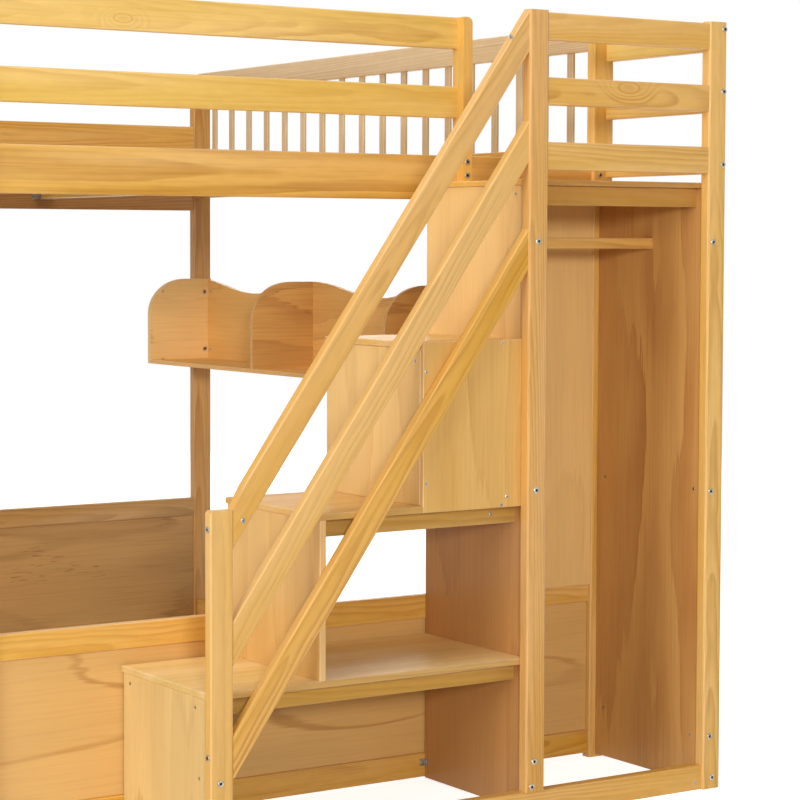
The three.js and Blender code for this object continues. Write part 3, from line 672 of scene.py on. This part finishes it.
def add_heads(name, spots, sides, recess_points, **millimetres):
    """Fastener heads on the given spots, each (x, y, z, outward) from the tower's corner."""
    mesh = bpy.data.meshes.new(name)
    mesh.from_pydata([from_tower(*spot[:3]) for spot in spots], [], [])
    outward = mesh.attributes.new("outward", "FLOAT_VECTOR", "POINT")
    for entry, spot in zip(outward.data, spots):
        entry.vector = spot[3]
    piece = show(name, mesh)
    modifier = piece.modifiers.new("heads", "NODES")
    modifier.node_group = HEADS
    sockets = {s.name: s.identifier for s in HEADS.interface.items_tree if s.in_out == "INPUT"}
    sizes = {label.replace("_", " ").capitalize(): value * MM for label, value in millimetres.items()}
    sizes |= {"Sides": sides, "Recess points": recess_points, "Metal": bright_zinc, "Shade": recess_shade}
    for label, value in sizes.items():
        modifier[sockets[label]] = value
    graph = bpy.context.evaluated_depsgraph_get()
    solid = bpy.data.meshes.new_from_object(piece.evaluated_get(graph), depsgraph=graph)
    piece.modifiers.clear()
    piece.data = solid
    solid.name = name
    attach(piece, "root")


# Sizes in millimetres, spots (x, y, z, outward) from the tower's corner
BOLT = dict(sides=24, head_radius=7, head_height=1.6, rim=0.5,
            recess_points=3, recess_inner=3.9, recess_outer=3.9)
CROSS_NUT = dict(sides=24, head_radius=5.5, head_height=0.6, rim=0.3,
                 recess_points=4, recess_inner=0.8, recess_outer=3.6)
PANEL_SCREW = dict(sides=20, head_radius=4, head_height=0.5, rim=0.25,
                   recess_points=4, recess_inner=0.6, recess_outer=2.6)
SLAT_SCREW = dict(sides=10, head_radius=3.8, head_height=0.4, rim=0.2,
                  recess_points=4, recess_inner=0.6, recess_outer=2.4)

BOLT_SPOTS = [
    (25, 0, 1254, FRONT), (23, 0, 716, FRONT), (22, 0, 123, FRONT), (16, 0, 68, FRONT),
    (549, 0, 1734, FRONT), (548, 0, 1594, FRONT), (548, 0, 1429, FRONT), (521, 0, 1253, FRONT),
    (521, 0, 686, FRONT), (525, 0, 122, FRONT), (533, 0, 26, FRONT),
    (517, 402, 1414, FRONT), (113, 387, 1437, FRONT), (113, 387, 1406, FRONT),
    (-759.5, 4, 170, FRONT), (-782, 16, 680, LEFT), (-782, 16, 222, LEFT),
    (525, 2370, 1097, FRONT), (526, 2370, 919, FRONT),
    (-1085, 402, 1414, FRONT), (-1085, 402, 60, FRONT),
    (517, 2413, 1414, BACK), (-1085, 2413, 1414, BACK), (517, 2413, 60, BACK), (-1085, 2413, 60, BACK),
]
NUT_SPOTS = [(-707, 4, 695, FRONT), (-50, 4, 1688, FRONT)]
PANEL_SPOTS = [
    (-767, 380, 312, LEFT), (-767, 94, 310, LEFT), (-767, 78, 167, LEFT),
    (-255, 59, 1000, LEFT), (16, 71, 1357, LEFT), (488, 6, 17, FRONT), (470, 2390, 111, FRONT),
    (-248, 28, 979, FRONT), (-246, 28, 742, FRONT), (-49, 28, 1036, FRONT), (-35, 28, 704, FRONT),
    (-50, 28, 686, FRONT), (-49, 68, 662, FRONT),
    (378, 2370, 1100, FRONT), (378, 2370, 889, FRONT), (537, 2351, 1098, LEFT), (537, 2354, 917, LEFT),
    (537, 1821, 1097, LEFT), (537, 2024, 905, LEFT),
    (514, 370, 127, LEFT), (514, 55, 116, LEFT), (514, 371, 688, LEFT), (514, 50, 688, LEFT),
    (14, 404, 45, LEFT), (8, 409, 45, FRONT), (-769, 404, 48, LEFT), (-775, 409, 48, FRONT),
    (529, 60, 1357, RIGHT), (529, 200, 1357, RIGHT), (529, 370, 1357, RIGHT),
    (529, 60, 40, RIGHT), (529, 370, 40, RIGHT),
]

SHELF_UPRIGHTS = "shelf_end_foot", "shelf_divider_foot", "shelf_divider_head", "shelf_end_head"
SHELF_SCREW_PITCH = 560
UPRIGHT_SCREWS = -60, 50

BED_INNER_FOOT, BED_INNER_HEAD = 430, 2385
SLAT_COUNT, SLAT_WIDTH = 14, 70
SLAT_END, SLAT_SCREWS_APART = 7, 20


def middle_of(name):
    return in_tower(sum(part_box(name), Vector()) / 2)


def shelf_back_spots():
    """Screws through the shelf's back into its bottom board and its uprights."""
    outer = in_tower(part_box("shelf_back")[1])[0]
    floor = middle_of("shelf_bottom")
    spots = [(outer, floor[1] + share * SHELF_SCREW_PITCH, floor[2], RIGHT)
             for share in (-1.5, -0.5, 0.5, 1.5)]
    for upright in SHELF_UPRIGHTS:
        middle = middle_of(upright)
        spots += [(outer, middle[1], middle[2] + rise, RIGHT) for rise in UPRIGHT_SCREWS]
    return spots


def slat_spots(name):
    """Screws through a slatted base, two at each end of a slat and one over each bearer."""
    low, high = (in_tower(corner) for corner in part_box(name))
    pitch = (BED_INNER_HEAD - BED_INNER_FOOT - SLAT_WIDTH) / SLAT_COUNT
    spots = []
    for number in range(SLAT_COUNT):
        y = BED_INNER_FOOT + (number + 0.5) * pitch + SLAT_WIDTH / 2
        for x in (low[0] + SLAT_END, high[0] - SLAT_END):
            spots += [(x, y + way * SLAT_SCREWS_APART, high[2], TOP) for way in (-1, 1)]
        spots += [(low[0] + (high[0] - low[0]) * share, y, high[2], TOP) for share in (1 / 3, 2 / 3)]
    return spots


add_heads("rail_bolts", BOLT_SPOTS, **BOLT)
add_heads("cross_nuts", NUT_SPOTS, **CROSS_NUT)
for base in ("bed_slats", "lower_bed_slats"):
    add_heads(base + "_screws", slat_spots(base), **SLAT_SCREW)
add_heads("panel_screws", shelf_back_spots() + PANEL_SPOTS, **PANEL_SCREW)


BRACKET_LEG, BRACKET_HEIGHT, BRACKET_GAUGE, BRACKET_EASE = 14, 16, 2, 0.4


def angle_bracket(name, x, y, z):
    """A small pressed angle in the corner between a wall and a rail, its two legs on their faces."""
    leg, gauge = BRACKET_LEG, BRACKET_GAUGE
    outline = [(x, y), (x - leg, y), (x - leg, y - gauge),
               (x - gauge, y - gauge), (x - gauge, y - leg), (x, y - leg)]
    shape = bmesh.new()
    rim = [shape.verts.new(from_tower(u, v, z - BRACKET_HEIGHT / 2)) for u, v in outline]
    side = bmesh.ops.extrude_face_region(shape, geom=[shape.faces.new(rim)])
    raised = [part for part in side["geom"] if isinstance(part, bmesh.types.BMVert)]
    bmesh.ops.translate(shape, verts=raised, vec=(0, 0, BRACKET_HEIGHT * MM))
    bmesh.ops.recalc_face_normals(shape, faces=shape.faces)
    bmesh.ops.bevel(shape, geom=shape.edges, offset=BRACKET_EASE * MM, segments=2, affect="EDGES",
                    profile=0.5)
    mesh = bpy.data.meshes.new(name)
    shape.to_mesh(mesh)
    shape.free()
    mesh.materials.append(bright_zinc)
    piece = show(name, mesh)
    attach(piece, "root")


angle_bracket("wall_angle", 16, 411, 45)
angle_bracket("riser_angle", -767, 411, 48)


# Floor, light and camera

WHITE = (1.0, 1.0, 1.0, 1.0)
FLOOR_HALF = 7.0
FLOOR_PAINT = (0.82, 0.81, 0.8, 1.0)
FLOOR_GLOW = 0.76
DOME_LIGHT = 0.28
LAMP_TARGET = Vector((0.0, -0.4, 0.9))

# Place, width and power of each lamp
LAMPS = {
    "key": ((-7.0, -3.2, 2.9), 3.2, 255.0),
    "fill": ((-3.4, -7.6, 2.1), 0.9, 255.0),
    "top": ((-0.4, -1.0, 5.0), 3.0, 85.0),
    "rear": ((5.2, 5.6, 3.0), 4.0, 125.0),
}

CAMERA_PLACE = (-2.7421, -5.199, 1.2482)
CAMERA_TURN = (87.046, -0.116, -32.407)
CAMERA_LENS, CAMERA_SENSOR = 104.52, 36.0
CAMERA_SHIFT = 0.08, -0.0457


def seen_directly(tree):
    """One for rays from the camera, and for those that metal or glass sends on."""
    path = fit(tree, "ShaderNodeLightPath").outputs
    seen = work_out(tree, "MAXIMUM", path["Is Camera Ray"], path["Is Glossy Ray"])
    return work_out(tree, "MAXIMUM", seen, path["Is Transmission Ray"])


def dome():
    world = bpy.data.worlds.new("studio")
    bpy.context.scene.world = world
    tree = emptied(world)
    soft = fit(tree, "ShaderNodeBackground", {"Color": WHITE, "Strength": DOME_LIGHT})
    white = fit(tree, "ShaderNodeBackground", {"Color": WHITE, "Strength": 1.0})
    mixed = fit(tree, "ShaderNodeMixShader", {
        0: seen_directly(tree), 1: soft.outputs[0], 2: white.outputs[0]})
    fit(tree, "ShaderNodeOutputWorld", {"Surface": mixed.outputs[0]})


def studio_floor():
    mesh = bpy.data.meshes.new("studio_floor")
    corners = [(x * FLOOR_HALF, y * FLOOR_HALF, 0) for x, y in ((-1, -1), (1, -1), (1, 1), (-1, 1))]
    mesh.from_pydata(corners, [], [(0, 1, 2, 3)])
    material = bpy.data.materials.new("floor_paint")
    tree = emptied(material)
    paint = fit(tree, "ShaderNodeBsdfDiffuse", {"Color": FLOOR_PAINT})
    strength = work_out(tree, "MULTIPLY", seen_directly(tree), FLOOR_GLOW)
    glow = fit(tree, "ShaderNodeEmission", {"Color": WHITE, "Strength": strength})
    both = fit(tree, "ShaderNodeAddShader", {0: paint.outputs[0], 1: glow.outputs[0]})
    fit(tree, "ShaderNodeOutputMaterial", {"Surface": both.outputs[0]})
    mesh.materials.append(material)
    show("studio_floor", mesh)


def lamp(name, place, across, power):
    data = bpy.data.lights.new(name, "AREA")
    data.shape = "DISK"
    data.size = across
    data.energy = power
    light = show(name, data)
    light.location = place
    light.rotation_euler = (LAMP_TARGET - Vector(place)).to_track_quat("-Z", "Y").to_euler()


def photo_camera():
    data = bpy.data.cameras.new("photo_camera")
    data.sensor_width = CAMERA_SENSOR
    data.lens = CAMERA_LENS
    data.shift_x, data.shift_y = CAMERA_SHIFT
    camera = show("photo_camera", data)
    camera.location = CAMERA_PLACE
    camera.rotation_euler = [math.radians(turn) for turn in CAMERA_TURN]
    bpy.context.scene.camera = camera


dome()
studio_floor()
for name, (place, across, power) in LAMPS.items():
    lamp(name, place, across, power)
photo_camera()
bpy.context.scene.view_settings.view_transform = "Standard"
